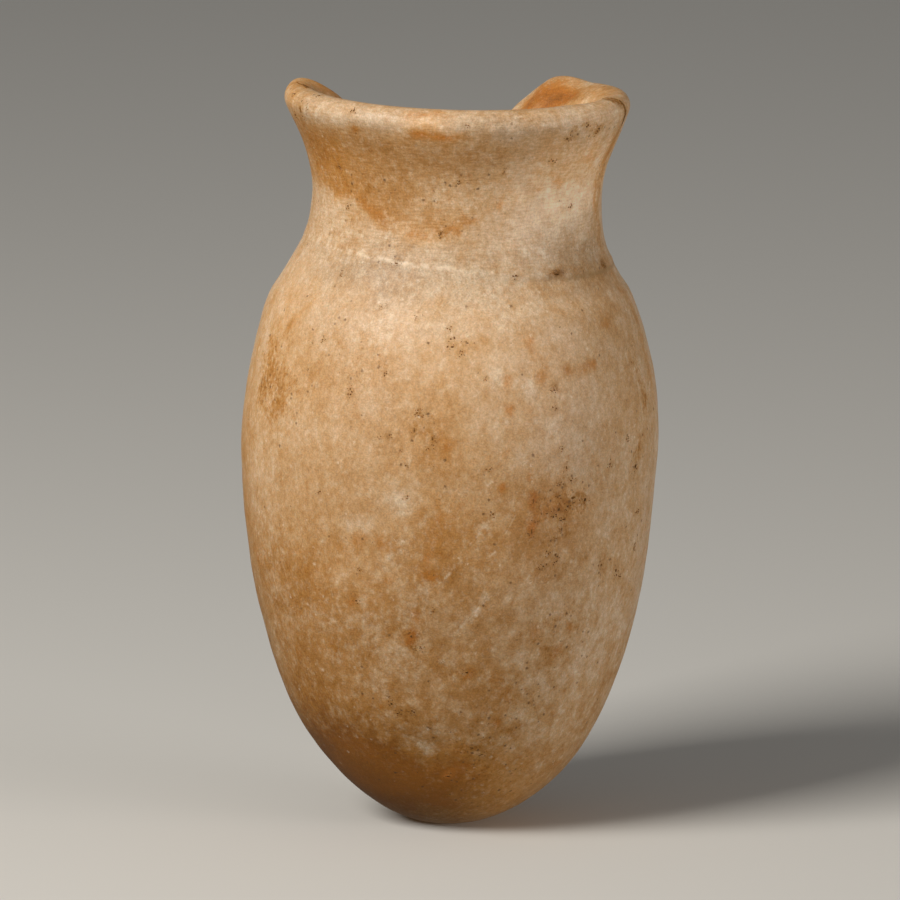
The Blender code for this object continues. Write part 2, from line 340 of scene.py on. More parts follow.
# The stone is cream to honey brown, rubbed to a soft polish that has dulled since. Burial left an
# orange stain round the neck, brown dirt in the pores and pale patches of worn crystal. A place is
# an angle (-90 in front) and a reach. Spots have half widths and heights in millimetres, a strength
# in percent and, where there is one, a slant in degrees. Their lists run from the lip down.
HONEY_AND_INNER_GLOW = (  # reach, how brown the stone is: 0 cream, 1 honey, 2 brown
    (0, 1.3), (5, 1.25), (11, 0.85), (20, 0.6), (28, 0.55), (35, 0.42), (41, 0.36), (47, 0.28),
    # From reach 77, over the lip and down inside, the orange is partly painted glow of light through
    # the thin wall.
    (52, 0.16), (57, 0.1), (61, 0.12), (66, 0.26), (70, 0.32), (73, 0.22), (77, 0.4), (84, 0.75),
    (110, 1), (170, 1.2),
)
HONEY_SPOTS = (  # angle, reach, half width, half height, strength, slant
    (175, 79, 5, 3, 25), (47, 78.3, 5, 2.2, 95), (170, 78.3, 3.5, 1.8, 45), (176, 77, 4, 2.5, 30),
    (15, 76, 5, 2, 80), (-168, 75, 5, 2.5, 55), (-145, 74.5, 8, 2, -18), (-160, 74, 5, 2, -22),
    (-120, 74, 6, 1.4, -28), (-85, 74, 8, 1.2, -25), (-45, 74, 6, 1.4, -22), (-160, 73.5, 2.6, 2.2, 30),
    (-97, 72.5, 3.4, 0.55, 60), (-127, 72.3, 0.7, 0.5, 55), (-17, 70.5, 0.9, 2.6, 85),
    (-150, 70, 4, 2.2, 25), (-38, 70, 4.5, 1.8, 4), (-150, 68.5, 5, 3, 55), (-36, 66.5, 3, 1.5, 20),
    (-85, 66, 6, 2.5, -10), (-52, 66, 9, 4, -24), (-70, 65.3, 4, 2.2, 10), (-45, 65, 8, 4.5, -22),
    (-19, 64.5, 1.2, 3, 45), (-36, 64, 6, 5, -12), (-13, 64, 0.9, 5.5, 75),
    (-115, 61.8, 3.2, 0.9, -25, 8), (-132, 60.8, 4, 2, 18), (-30, 58, 8, 3, 30), (-125, 57, 8, 2, 12),
    (-24, 57, 3, 0.5, 35, -8), (-39, 56.3, 1.2, 1.2, -20), (-75, 56, 9, 2.6, -6), (-150, 54, 4, 4, 18),
    (-38, 54, 5, 4, 20), (-33, 52.8, 2.6, 1.2, 35, 15), (-148, 52.4, 0.35, 1.8, 65, -38),
    (-157, 50, 1, 1, 50), (-112, 50, 3, 3, 18), (-35, 50, 6, 5, 14), (-11, 50, 1.2, 9, 45),
    (-125, 49, 8, 5, 16), (-46.9, 48.8, 1, 0.6, 85, 8), (-54.3, 48.6, 0.6, 0.6, 85),
    (-76.5, 48.4, 0.9, 0.9, -35), (-63.3, 48.3, 0.75, 0.6, 90, -35), (-66, 47.6, 0.7, 1.4, -35, 8),
    (-157, 47.5, 1.6, 5, 30), (-143, 46.5, 5, 4.2, 25, 20), (-30, 45.5, 5, 6, 16), (-40, 45, 8, 6, -10),
    (-147, 44.3, 1.3, 0.8, 50, 20), (-21, 44, 0.8, 1.8, 40), (-62, 43.5, 2.5, 3, 16),
    (-60, 43.4, 1.2, 1.2, -25), (-95, 43, 3.2, 5.5, 36), (-44, 42, 3, 3, 10),
    (-70, 40.4, 1.8, 0.8, -30, 30), (-169, 40, 1.4, 14, 35), (-50, 40, 6, 6, -14),
    (-24, 40, 0.9, 1.3, 45), (-93, 39, 7, 6, 12), (-104, 36.4, 2.2, 1.3, -45, -15),
    (-8, 35, 1.6, 12, -42), (-65, 34.5, 4.2, 5, 62, 15), (-116, 33.6, 2, 1.2, -30),
    (-52, 33, 3.2, 4, 30), (-91, 32, 1.9, 4.6, 55, 8), (-130, 31, 5, 5, 15),
    (-118, 31, 2.6, 1.3, 30, 10), (-80, 31, 4, 4, 28), (-20, 30, 4, 9, -15), (-97, 28.8, 1.5, 1.5, 55),
    (-118, 27, 6, 4, -16), (-138, 26, 6.5, 5.5, 50), (-108, 26, 2.6, 2.4, 30), (-97, 25, 9, 7, 15),
    (-180, 24, 9, 12, 60), (-170, 24, 3, 6, -30), (-58, 20.5, 2.6, 2.6, 30), (-130, 20, 6, 4, 28),
    (-84, 19.5, 3, 3.4, 30), (-162, 17, 3.5, 6, -55), (-35, 15, 9, 13, -38), (-72, 14.5, 3, 2.5, 25),
    (-150, 14, 5, 8, 62), (-26, 13.7, 3, 3, 35), (-132, 12.7, 3, 2.2, 15), (-120, 12, 5, 3, 12),
    (-100.4, 10.2, 1.3, 0.9, -110, -30), (-124, 10, 6, 5, 50), (-128, 9, 5, 5, 18), (-180, 8, 9, 8, 50),
    (-150, 8, 6, 6, 30), (-125, 8, 8, 5, 45), (-100, 7.5, 6.5, 2.4, 25), (-85, 7.5, 2.2, 2.2, 35),
    (-142, 6.5, 6, 3.2, 60), (-66, 5.5, 4, 3, -20), (-39, 5.2, 3, 2, -20), (-95, 5, 10, 5, 70),
)
RUST_SPOTS = (  # where iron has turned the stone orange
    (43.8, 79, 0.42, 0.5, 112), (49, 78.6, 3.2, 1.3, 135), (40, 78.2, 1.8, 1, 100),
    (41.1, 78.2, 0.42, 0.48, 88), (35, 77.8, 0.42, 0.5, 138), (46, 76.8, 5, 2, 30),
    (52, 76.6, 3, 1.8, 28), (60, 76, 5, 2, 28), (-96.5, 75, 0.9, 0.48, 38), (-13, 75, 0.8, 1.4, 35),
    (-104.6, 74.6, 1.3, 0.6, 45), (-99, 74.2, 3, 1.2, 25), (90, 74, 9, 3, 30),
    (-103.5, 72.5, 1, 0.48, 75), (-126, 72.4, 0.42, 0.48, 69), (-95.7, 72.3, 1.3, 0.48, 94),
    (-156, 72, 2, 1.6, 12), (-30, 69.7, 3, 1.4, 26, 20), (-15, 69, 0.7, 2.5, 45),
    (-44, 68.8, 3.6, 1.2, 16, 10), (-22, 67.5, 1.4, 1.2, 22), (-152, 67.2, 1.5, 1, 10),
    (-47.8, 67.2, 0.65, 0.48, 62), (-55.5, 66.4, 0.9, 0.5, 30, 10), (-74, 66, 1.6, 1, 22),
    (-142, 65.8, 1.6, 0.9, 28), (-72.2, 65.2, 0.45, 0.48, 75), (-21, 65, 0.42, 1.4, 56),
    (-132, 64.6, 1.6, 0.7, 45, -15), (-122, 63.6, 1.6, 0.48, 40, -12), (-84.3, 63.5, 1.3, 0.6, 60, 12),
    (-121, 63, 1.6, 0.5, 25, -20), (-97.5, 63, 0.8, 0.9, 25), (-90.6, 62.5, 1, 0.5, 55),
    (-103, 62.1, 1.3, 0.55, 38), (-109, 61.9, 1.7, 0.5, 42), (-15, 61, 1, 3, 25), (-12, 55, 0.8, 5, 25),
    (-34, 52.6, 0.8, 0.48, 56, 15), (-64.6, 51.8, 0.75, 0.95, 60), (-64, 50.2, 1, 1.2, 25),
    (-43.8, 48.9, 0.42, 0.48, 88), (-46.9, 48.8, 0.95, 0.55, 45, 8), (-54.3, 48.6, 0.5, 0.55, 45),
    (-63.3, 48.3, 0.7, 0.55, 55, -35), (-73.9, 48.2, 0.42, 0.48, 81, -20), (-73.3, 47, 0.8, 1.6, 22),
    (-10, 47, 0.8, 5, 25), (-73.2, 45.5, 0.42, 0.48, 75), (-91.2, 42, 0.7, 0.7, 45),
    (-93, 41, 2, 2, 20), (-75.2, 41, 0.9, 0.48, 44, 50), (-67.8, 38.8, 0.42, 0.7, 75),
    (-75.2, 37.5, 0.42, 0.48, 112), (-66.4, 36.2, 0.42, 1.1, 106), (-57.5, 35.8, 1.5, 1.8, 35),
    (-92.5, 34.6, 0.6, 1, 55), (-63.5, 34.4, 1.6, 0.8, 55, 20), (-66.4, 33.2, 0.42, 0.8, 138),
    (-94, 32.4, 0.9, 1.2, 45, 20), (-116.3, 32.2, 0.7, 0.8, 50), (-108.6, 31.8, 1, 0.9, 55),
    (-96.1, 30.4, 0.5, 0.9, 70), (-95, 28.6, 1.1, 0.7, 85), (-133, 28.3, 1.3, 1.2, 28),
    (-107.3, 28.1, 0.5, 0.48, 81), (-161.3, 28, 0.5, 0.9, 70), (-119, 25.4, 0.7, 0.48, 81, 35),
    (-99.6, 24.4, 0.5, 0.9, 75), (-63.3, 22.6, 0.5, 1.2, 55, 10), (-101.2, 22.5, 0.55, 0.65, 115),
    (-50.3, 22.4, 0.42, 0.7, 81, 20), (-102.3, 21.7, 0.8, 0.48, 75), (-54.6, 20.1, 0.9, 0.8, 55),
    (-125, 19.5, 2.5, 1.6, 18), (-144.5, 18.9, 0.5, 0.48, 81), (-84, 18.3, 0.55, 0.6, 100, -25),
    (-76, 17.6, 1.3, 1.1, 25), (-71.5, 15.9, 1.5, 0.9, 35), (-113.5, 14.3, 0.42, 0.48, 94),
    (-72.8, 12.7, 0.42, 0.48, 106), (-87, 7.6, 1.5, 1, 50), (-146, 7, 6, 2.2, 30),
    (-91, 6.8, 0.6, 0.48, 100), (-33.5, 6.8, 1.2, 0.5, 60), (-120, 4.5, 5, 1.6, 25),
    (-93, 3.5, 2.6, 1.2, 35),
)
GRIME_SPOTS = (  # how thickly brown dirt sits in the pores
    (-152, 76, 1.5, 1, 50), (-17.8, 75.1, 0.8, 1, 120), (-70, 74.8, 2, 0.4, 50),
    (-57, 74.3, 2.4, 0.5, 40), (-150, 74, 2, 1.4, 45), (-71, 73.6, 1.6, 0.7, 40),
    (-47, 73.2, 1.6, 0.4, 55, 12), (-48, 72.6, 1.3, 0.6, 65, 20), (-34, 72.6, 2.2, 0.8, 35),
    (-34.5, 72.2, 1.1, 0.8, 100), (-142, 67.3, 2.4, 1.6, 35), (-17, 67, 0.8, 2.6, 40),
    (-128, 66.5, 3, 1, 55, 8), (-96, 66, 5.5, 2.2, 34), (-92, 62.6, 1.2, 0.8, 50), (-140, 62, 4, 2, 28),
    # Along the ledge's groove on the right these add dirt and painted shade.
    (-49.5, 58, 0.7, 0.22, 110, 6), (-47, 58, 1.4, 0.35, 60, 4), (-35, 57.8, 3, 0.22, 45, 4),
    (-18.3, 57.7, 0.5, 0.35, 90), (-33.4, 57.6, 0.4, 0.25, 50), (-20, 57.6, 1, 0.45, 70),
    (-89, 51.3, 1, 1.2, 30), (-130, 51, 3, 2, 30), (-112, 49.5, 2.5, 1.5, 25), (-22, 48, 1, 2.6, 70),
    (-151, 47.5, 2.2, 4.5, 40), (-120, 47.5, 2.2, 1.8, 30), (-158, 47, 1.6, 4, 100),
    (-146, 46, 3.2, 3.6, 62), (-98, 44, 1.6, 2, 55, 20), (-20, 43.5, 0.9, 2.4, 80),
    (-33, 41, 1.6, 1.4, 35), (-12, 41, 1.4, 7, 35), (-25, 40, 0.9, 1.6, 75), (-100, 39.5, 3, 2, 25),
    (-27, 38.2, 1.3, 1.4, 60), (-87, 38, 3, 2.5, 30), (-57.5, 36, 2.3, 3.2, 78),
    (-52, 35.4, 1.9, 1.1, 75), (-117, 32, 1.3, 1.2, 35), (-59, 31, 1.8, 2.4, 40), (-24, 31, 1, 2.6, 40),
    (-39, 28.5, 1.4, 1.2, 50), (-33, 27, 1, 1.2, 60), (-55, 22, 3.4, 3, 45), (-101, 21.8, 1.5, 1.3, 70),
    (-44, 18, 3, 3, 15), (-62, 15, 3, 3, 30), (-104, 14, 2, 1, 40), (-75, 12, 2.4, 2.4, 35),
    (-80, 8, 4.4, 3, 55),
)
FROST_SPOTS = (  # how thickly pale crystals show
    (47, 78.3, 5, 2.2, -50), (-120, 75, 4, 0.6, 35), (-92, 74.6, 4, 0.5, 40), (-22, 74.3, 1.1, 0.8, 70),
    (-114.9, 74.2, 1.6, 0.4, 100, -6), (-97.6, 73.8, 0.7, 0.4, 90), (-150, 73.6, 0.3, 0.5, 90),
    (-145.8, 73.1, 0.35, 0.5, 130), (-75, 66, 2.6, 1.6, 50), (-95, 65.5, 5, 2, 30),
    (-88, 65.5, 4.5, 2.2, 50), (-73, 65.5, 4, 2, -40), (-116.4, 63.3, 0.8, 0.3, 80, -8),
    (-145, 63, 2, 2, 45), (-48, 63, 0.5, 2.4, 50, 4), (-100, 62, 1.6, 0.6, 30),
    (-118, 61.8, 2.6, 0.9, 50, 8), (-150, 60, 2.6, 3, 60), (-130, 60, 8, 2.5, 25),
    (-122, 59, 3.5, 0.5, 80), (-60, 59, 9, 2.5, 30), (-103, 58.6, 2.6, 0.35, 90),
    (-85, 58.4, 2.2, 0.8, 70), (-138.7, 57.8, 0.9, 0.9, 60), (-126, 57.7, 0.5, 0.4, 110),
    (-73, 57.5, 5, 1.9, 80), (-93, 57, 4, 2, 50), (-41, 57, 1, 1, 45), (-137.8, 55.2, 0.6, 0.9, 60),
    (-66, 55, 4.5, 1.6, 45), (-112, 53, 1.8, 2.4, 55), (-113.9, 52.2, 0.7, 0.5, 60),
    (-66, 48.8, 0.4, 0.4, 80), (-77.1, 48.4, 0.75, 0.75, 95), (-66.3, 47.5, 0.4, 0.9, 115, 8),
    (-59, 46.3, 0.7, 0.5, 55), (-20, 45, 1.5, 3, 40), (-75.6, 44, 0.9, 0.9, 50),
    (-60, 43.2, 0.8, 0.8, 50), (-140, 43, 3, 2.2, 60), (-55, 43, 5, 5, -15),
    (-70.2, 40.3, 1.3, 0.6, 90, 35), (-79.6, 38.2, 0.9, 0.45, 75, 40), (-33, 37, 0.7, 2, 55),
    (-104, 36.3, 1.4, 0.8, 105, -15), (-155, 36, 3, 8, 45), (-102.5, 35.2, 0.7, 0.6, 70),
    (-73, 34.8, 0.9, 0.3, 70, 45), (-116.8, 33.7, 1.5, 0.7, 95, -8), (-80.4, 33.7, 1.5, 0.32, 135, 45),
    (-126.9, 33.1, 0.4, 0.35, 90), (-40, 33, 3, 4, 25), (-121.2, 31.7, 0.5, 0.5, 80),
    (-104.6, 31.6, 1.6, 0.7, 90, 45), (-77.5, 30.9, 0.9, 0.3, 95, 42), (-108, 29.6, 1.8, 0.8, 70, 40),
    (-89.6, 29, 1.8, 0.55, 95, 48), (-97.6, 27.4, 0.7, 0.6, 80), (-112, 25.5, 2.2, 1.4, 50, 30),
    (-100, 25, 2, 3, 45), (-82, 25, 2.2, 0.4, 95, 45), (-180, 24, 9, 12, -30), (-150, 24, 2.5, 6, 45),
    (-130, 24, 4, 4, 35), (-45, 24, 3, 3.4, 45, 20), (-115.3, 23.4, 0.9, 0.8, 100),
    (-86, 23.4, 1.6, 0.4, 50, 45), (-28, 22, 2.5, 4, 40), (-108, 20, 4, 2, 50),
    (-126.3, 19.3, 0.5, 0.4, 80), (-89, 19, 0.35, 0.4, 90), (-77.4, 18.2, 0.8, 0.5, 60),
    (-115.4, 16.8, 0.8, 0.9, 110, 35), (-121.9, 15.8, 0.55, 0.3, 90, -30),
    (-98.6, 15.3, 1.2, 0.4, 85, 20), (-76.1, 14.3, 0.45, 0.6, 90), (-120.8, 13.1, 0.7, 0.3, 80),
    (-101, 12.2, 2, 0.8, 50), (-130, 12, 4, 3, 35), (-60, 12, 3, 3, 30), (-88.4, 11.7, 0.5, 0.5, 80),
    (-101.2, 10.5, 0.9, 0.5, 130, -35), (-99, 9.6, 0.5, 0.5, 110), (-46.5, 7.1, 0.7, 0.6, 80),
    (-71.7, 4.6, 1, 0.3, 70, 30), (-59.2, 4.4, 0.5, 0.35, 90),
)
PAINTED_LIGHT_AND_TONE_SPOTS = (  # painted light and shade, and some real tone
    # Among them: painted light on the neck in the lip's shadow, on the knob and on the foot, and
    # painted shade over the lip's highlight.
    (175, 79, 5, 3, 14), (48, 78.6, 5, 1.5, -32), (175, 77.5, 3.5, 2, 26), (10, 77, 6, 2.5, 14),
    (12, 76, 4.5, 2, -2), (-168, 75, 5, 2.5, 8), (-27, 74.6, 2.4, 1.2, 12), (-155, 74.2, 4, 2, -14),
    (-165, 74, 4, 2, 4), (-85, 74, 9, 1, -15), (-85, 73.9, 8, 1.2, -6), (-122, 73.8, 7, 1.3, -8),
    (-42, 73.8, 5.5, 1.2, 13), (-103, 73.5, 3, 1.2, 10), (-97, 73, 3, 2, 16), (-97, 72.5, 5, 1.4, 14),
    (-34, 69.5, 3, 2, 8), (-18, 69, 4, 4, 16), (-145, 68, 5, 3.5, 10), (-98, 67.2, 5.5, 2.6, 2),
    (-150, 67, 4, 3, 5), (-50, 67, 7, 5, 44), (-36, 67, 7, 4.5, 40), (-70, 65.3, 4, 2, -10),
    (-19, 65, 1.2, 3, -10), (-36, 62.2, 4, 3, -12), (-105, 62, 3, 1, 10), (-88, 60, 5, 1.8, -5),
    (-125, 58.5, 7, 2, -10), (-30, 58.5, 7, 2.2, -20), (-125, 57.5, 8, 2.4, -16),
    (-85, 57.5, 9, 2.4, -10), (-160, 52, 6, 6, 10), (-85, 51, 9, 4, 13), (-32, 50, 5, 4, -5),
    (-40, 45, 8, 6, 5), (-55, 43, 5, 5, -6), (-180, 40, 8, 8, -6), (-165, 40, 5, 9, 8),
    (-56, 35.5, 2.4, 2.4, 10), (-8, 35, 1.6, 12, 12), (-118, 27, 6, 4, 9), (-138, 26, 7, 6, -5),
    (-180, 24, 8.6, 10, -18), (-97, 24, 9, 7, -14), (-30, 24, 7, 14, 6), (-140, 20, 7, 9, -5),
    (-162, 17, 3, 6, 6), (-26, 13.7, 3, 3, -5), (-132, 12.7, 3, 2.2, -14), (-101, 12, 7.5, 2.8, -16),
    (-40, 12, 8, 8, 8), (-103, 9.6, 2.4, 2, -12), (-180, 9, 9, 9, -30), (-131, 6.6, 2.5, 2, -10),
    (-155, 6, 5, 5, -6), (-95, 6, 10, 6, 42), (-66, 5.5, 4, 3, 8), (-39, 5.2, 3, 2, 12),
    (-85, 5, 5, 4, 12), (-45, 5, 9, 4, -6), (-51, 3, 2.5, 2, 22),
)
STAIN_EDGE = (  # angle, reach of the lower edge of the brown stain round the neck
    (-230, 66.5), (-190, 66), (-165, 65.2), (-150, 65), (-140, 64.8), (-130, 64.1), (-124, 62.5),
    (-115, 61.6), (-108, 60.9), (-100, 60.9), (-95, 61.5), (-90, 61.8), (-85, 62.8), (-80, 63.5),
    (-72, 64.6), (-66, 65), (-56, 65.8), (-47, 67.1), (-30, 68), (90, 68),
)
STAIN_STRENGTH = (  # angle, how strong the stain is
    (-250, 0.2), (-200, 0.5), (-165, 0.62), (-135, 0.72), (-118, 0.62), (-95, 0.48), (-82, 0.4),
    (-70, 0.26), (-56, 0.18), (-42, 0.06), (-30, 0), (90, 0),
)
STAIN_TOP = (71.2, 73.2)
RING_PLACE, RING_RADIUS = (-36.2, 54.2), 0.27  # a small ring-shaped mark below the ledge
PALE_SCRATCHES = (  # angle, reach, half length, half width, slant, strength
    (-59.6, 42.9, 0.34, 0.14, 55, 1), (-78.4, 38.2, 1.2, 0.15, 25, 0.6),
    (-72.5, 34, 1.55, 0.11, 61, 0.6), (-81.3, 33.1, 1.65, 0.14, 48, 0.9),
    (-77.6, 30.9, 0.75, 0.13, 40, 0.7), (-89.6, 29, 1.7, 0.17, 48, 0.6),
    (-67.5, 28, 1.3, 0.12, 50, 0.5), (-82, 25, 2, 0.14, 45, 0.6), (-86, 23.4, 1.5, 0.13, 45, 0.5),
)
LEAST_GIRTH = 4.0  # the radius that spots on the foot are measured round
CRYSTAL_SLOPE = -0.045  # how far the crystals turn round the jar in each millimetre up

RUST = (0.62, 0.225, 0.038, 1)
PALE_CRYSTAL = (0.88, 0.70, 0.50, 1)
# Bright crystal, also the colour of painted glints.
BRIGHT_CRYSTAL_AND_GLINT = (0.95, 0.82, 0.64, 1)
# The ledge's rubbed edge, with a painted highlight.
RUBBED_EDGE_AND_HIGHLIGHT = (0.92, 0.76, 0.58, 1)
# Dirt in the ledge's groove, with painted shade.
LEDGE_DIRT_AND_SHADE = (0.34, 0.20, 0.08, 1)
SMALL_GRAIN = (0.17, 0.085, 0.03, 1)
LARGE_GRAIN = (0.24, 0.12, 0.04, 1)
RING_DIRT = (0.35, 0.24, 0.14, 1)
BROWNNESS = (-0.5, 2.5)  # the ends of the scale of hues
HUES = (  # brownness, hue
    (-0.5, (0.80, 0.62, 0.44)), (0.0, (0.70, 0.480, 0.292)), (0.5, (0.64, 0.380, 0.176)),
    (1.0, (0.56, 0.285, 0.094)), (1.6, (0.485, 0.215, 0.044)), (2.5, (0.36, 0.132, 0.015)),
)

front_angle = np.where(angle > 90, angle - 360, angle)
girth = np.maximum(radius, LEAST_GIRTH)
ragged_across = 0.8 * noise_at(place, 2.6, 5) + 0.6 * noise_at(place, 1.0, 6)
ragged_up = 0.8 * noise_at(place, 2.6, 7) + 0.6 * noise_at(place, 1.0, 8)


def spotted(spots):
    """The sum of soft, ragged spots at every point of the skin."""
    total = np.zeros(count)
    for spot_angle, spot_reach, wide, tall, strength, *slant in spots:
        ragged = 0.8 * min(wide, tall, 2.0)
        across = np.radians((angle - spot_angle + 180) % 360 - 180) * girth + ragged * ragged_across
        along = reach - spot_reach + ragged * ragged_up
        lean = math.radians(slant[0]) if slant else 0.0
        cosine, sine = math.cos(lean), math.sin(lean)
        way_along = (across * cosine + along * sine) / wide
        way_over = (along * cosine - across * sine) / tall
        total += strength / 100 * np.exp(-(way_along**2 + way_over**2))
    return total


def keep(name, values):
    """Stores a number at each point of the skin, for the material to read."""
    layer = skin_mesh.attributes.new(name, "FLOAT", "POINT")
    layer.data.foreach_set("value", np.asarray(values, np.float32))


# What the material reads at each point. The back, which has few spots, gets soft clouds.
behind = soft_step(np.sin(turn), -0.15, 0.35)
clouds = noise_at(place, 7.0, 9)
above_edge = reach - smooth_line(STAIN_EDGE, front_angle) + 0.45 * ragged_up
stain = smooth_line(STAIN_STRENGTH, front_angle) * soft_step(above_edge, -0.35, 0.7)
stain *= 1 - soft_step(reach + 0.3 * ragged_up, *STAIN_TOP)
rust = np.clip(spotted(RUST_SPOTS), 0, 1.6)
honey = smooth_line(HONEY_AND_INNER_GLOW, reach) + spotted(HONEY_SPOTS) + stain + 0.80 * rust + 0.35 * behind * clouds
keep("honey", honey)
keep("rust", np.clip(rust, 0, 1.4))
keep("grime", np.clip(0.10 + spotted(GRIME_SPOTS) + 0.30 * behind * np.clip(clouds, 0, 1), 0, 1.2))
even_frost = 0.20 * soft_step(reach, 5, 11) - 0.04
keep("frost", np.clip(even_frost + spotted(FROST_SPOTS) - 0.30 * behind * clouds, 0, 1.7))
# Painted light and shade, with some real tone: a factor on the stone's colour.
keep("painted_light_and_tone", np.clip(1 + spotted(PAINTED_LIGHT_AND_TONE_SPOTS), 0.4, 1.6))


def new_material(name):
    """A material with its plain shader."""
    made = bpy.data.materials.new(name)
    made.use_nodes = True
    return made


stone = new_material("alabaster")
tree = stone.node_tree


def wire(made, values):
    """Sets a node's inputs to values, or links them where a value is a socket."""
    for key, value in values.items():
        if isinstance(value, bpy.types.NodeSocket):
            tree.links.new(value, made.inputs[key])
        else:
            made.inputs[key].default_value = value


def node(kind, values, **settings):
    """The outputs of a new node with the settings and inputs given."""
    made = tree.nodes.new("ShaderNode" + kind)
    for name, value in settings.items():
        setattr(made, name, value)
    wire(made, values)
    return made.outputs


def maths(operation, *values):
    """A sum on numbers and sockets."""
    return node("Math", dict(enumerate(values)), operation=operation)[0]


def vectors(operation, *values):
    """A sum on vectors and their sockets."""
    results = node("VectorMath", dict(enumerate(values)), operation=operation)
    return results["Value" if operation == "LENGTH" else "Vector"]


def turned(vector, by):
    """A vector turned about the Z axis."""
    return node("VectorRotate", {"Vector": vector, "Angle": by}, rotation_type="Z_AXIS")[0]


def apart(vector):
    """A vector's three parts."""
    return node("SeparateXYZ", {0: vector})


def in_millimetres():
    """The place on the object, in millimetres."""
    return vectors("MULTIPLY", node("TexCoord", {})["Object"], (1 / MM, 1 / MM, 1 / MM))


def summed(*terms):
    """The sum of (socket, factor) pairs and plain numbers."""
    total = 0.0
    for term in terms:
        if isinstance(term, tuple):
            total = maths("MULTIPLY_ADD", *term, total)
        else:
            total = maths("ADD", total, term)
    return total


def between(value, low, high):
    """0 where the value is under low, 1 over high, eased between."""
    limits = {"Value": value, "From Min": low, "From Max": high}
    return node("MapRange", limits, interpolation_type="SMOOTHSTEP")["Result"]


def painted(name):
    """The number that keep() stored under a name."""
    return node("Attribute", {}, attribute_name=name)["Fac"]


def noisy(where, size, detail, stretch=(1, 1, 1)):
    """Noise about -1 to 1 with features of a size in millimetres, longer where stretch is over 1."""
    scaled = vectors("MULTIPLY", where, tuple(1 / (size * part) for part in stretch))
    made = node("TexNoise", {"Vector": scaled, "Scale": 1.0, "Detail": detail, "Roughness": 0.6})
    return maths("MULTIPLY_ADD", made[0], 2.0, -1.0)


def mixed(share, under, over, how="MIX"):
    """One colour laid over another. Inputs 6 and 7 and output 2 are the node's colours."""
    return node("Mix", {0: share, 6: under, 7: over}, data_type="RGBA", blend_type=how)[2]


def bumped(relief):
    """The normal that a relief in millimetres gives."""
    return node("Bump", {"Strength": 1.0, "Distance": MM, "Height": relief})[0]


spot = in_millimetres()
height_here = apart(spot)["Z"]
# The crystals of the body lie along a slope, so their pattern is wound round the jar.
wound = turned(spot, maths("MULTIPLY", height_here, CRYSTAL_SLOPE))

honey_here, rust_here = painted("honey"), painted("rust")
grime_here, frost_here, painted_light_and_tone_here = painted("grime"), painted("frost"), painted("painted_light_and_tone")
halo_here = painted("halo")  # stored with the dirt grains below
broad = noisy(spot, 5.0, 2.0)
middle = noisy(spot, 1.5, 3.0, (1, 1, 1.2))
fine = noisy(spot, 0.48, 3.0, (1, 1, 1.2))
dust = noisy(spot, 0.17, 1.0)
scratches = noisy(spot, 0.20, 2.0, (6, 6, 1))
streaks = noisy(wound, 0.80, 2.0, (1, 1, 2.6))
crystals = noisy(spot, 0.52, 3.0, (1, 1, 1.3))
dirt_grain = noisy(spot, 0.38, 3.0, (1, 1, 1.3))
# Scratches ring the neck, and streaks follow the slope on the body.
on_neck = between(height_here, 56.0, 61.0)
on_body = maths("MULTIPLY_ADD", on_neck, -0.3, 0.3)
lines = summed((scratches, on_neck), (streaks, on_body))
# The mottling is up to twice as strong on the lower body, and there are more glints there.
lower_body = maths("MULTIPLY", between(height_here, 44.0, 8.0), between(height_here, 0.0, 16.0))
middle = maths("MULTIPLY", middle, maths("ADD", lower_body, 1.0))

brown = summed((honey_here, 1.0), (broad, 0.42), (middle, 0.50), (fine, 0.45), (lines, 0.35))
dirty = between(summed((dirt_grain, 1.0), (grime_here, 0.55), (middle, 0.30)), 0.32, 0.90)
brown = summed((brown, 1.0), (dirty, 0.75), (halo_here, 1.3))
hues = tree.nodes.new("ShaderNodeValToRGB")
hues.color_ramp.interpolation = "LINEAR"
least, most = BROWNNESS
while len(hues.color_ramp.elements) < len(HUES):
    hues.color_ramp.elements.new(0.5)
for element, (brownness, hue) in zip(hues.color_ramp.elements, HUES):
    element.position = (brownness - least) / (most - least)
    element.color = (*hue, 1)
wire(hues, {0: maths("DIVIDE", maths("SUBTRACT", brown, least), most - least)})

orange_share = between(summed((rust_here, 0.85), (fine, 0.25), (middle, 0.20)), 0.05, 1.25)
colour = mixed(orange_share, hues.outputs[0], RUST)
paleness = summed((crystals, 1.0), (frost_here, 0.42), (middle, -0.30), (lines, -0.25), (dirty, -0.4))
pale_share = between(paleness, -0.05, 1.15)
pale_strength = maths("MULTIPLY_ADD", honey_here, -0.24, 0.89)
colour = mixed(maths("MULTIPLY", pale_share, pale_strength), colour, PALE_CRYSTAL)
# The painted light and shade multiply the colour here, with the stone's own mottling and dirt.
light = summed(
    (broad, -0.03), (middle, -0.05), (fine, -0.12), (dust, 0.30), (lines, -0.14),
    (dirty, -0.10), (halo_here, -0.22), (painted_light_and_tone_here, 0.87),
)
colour = mixed(1.0, colour, light, "MULTIPLY")


def grains(cell, smallest, largest, plenty):
    """Round marks of mixed sizes strewn at most one to a cell, more of them where plenty is high."""
    shaken = vectors("ADD", spot, wander)
    cells = node("TexVoronoi", {"Vector": shaken, "Scale": 1 / cell, "Randomness": 1.0})
    lots = node("SeparateColor", {0: cells["Color"]})
    chance = maths("LESS_THAN", lots[0], plenty)
    size = maths("MULTIPLY_ADD", lots[1], (largest - smallest) / cell, smallest / cell)
    near = between(maths("DIVIDE", cells["Distance"], size), 1.35, 0.30)
    return maths("MULTIPLY", near, chance)


